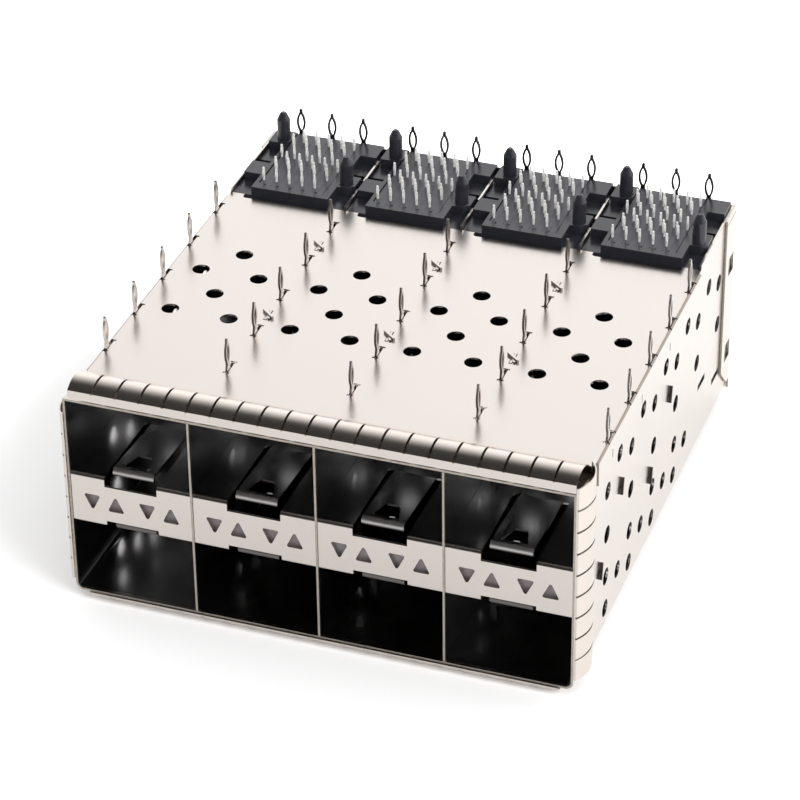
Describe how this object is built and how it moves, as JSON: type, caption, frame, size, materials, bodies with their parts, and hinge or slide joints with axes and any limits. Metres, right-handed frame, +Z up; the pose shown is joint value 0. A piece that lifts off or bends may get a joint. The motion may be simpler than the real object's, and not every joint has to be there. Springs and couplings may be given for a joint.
{
  "type": "sfp cage",
  "caption": "Stacked cage for plug-in transceivers, folded sheet with press-fit pins, spring fingers round the port face and moulded press-fit connectors at the rear.",
  "frame": {"origin": "middle of the bounding box, on the surface that the cage lies on", "axes": "+X to the right across the ports, +Y from the port face to the rear, +Z up, out of the board side"},
  "size_m": [0.0596, 0.063, 0.0305],
  "materials": {
    "cage_sheet": "satin, tin or nickel plated",
    "spring_sheet": "bright plated spring sheet",
    "light_bar": "smoky translucent resin",
    "housing": "moulded, slight sheen",
    "wafer": "moulded",
    "terminal": "bright tin plated"
  },
  "bodies": {
    "root": {"main_shell": "cage_sheet", "base_plate": "cage_sheet", "rear_cover": "cage_sheet", "divider_1": "cage_sheet", "divider_2": "cage_sheet", "divider_3": "cage_sheet", "port_spacer_1": "cage_sheet", "port_spacer_2": "cage_sheet", "port_spacer_3": "cage_sheet", "port_spacer_4": "cage_sheet", "light_bar_1": "light_bar", "light_bar_2": "light_bar", "light_bar_3": "light_bar", "light_bar_4": "light_bar", "board_spring_strip": "spring_sheet", "cover_spring_strip": "spring_sheet", "left_spring_strip": "spring_sheet", "right_spring_strip": "spring_sheet", "connector_housing_1": "housing", "connector_housing_2": "housing", "connector_housing_3": "housing", "connector_housing_4": "housing", "terminal_wafers_1": "wafer", "terminal_wafers_2": "wafer", "terminal_wafers_3": "wafer", "terminal_wafers_4": "wafer", "upper_port_terminals_1": "terminal", "upper_port_terminals_2": "terminal", "upper_port_terminals_3": "terminal", "upper_port_terminals_4": "terminal", "lower_port_terminals_1": "terminal", "lower_port_terminals_2": "terminal", "lower_port_terminals_3": "terminal", "lower_port_terminals_4": "terminal"}
  },
  "joints": []
}
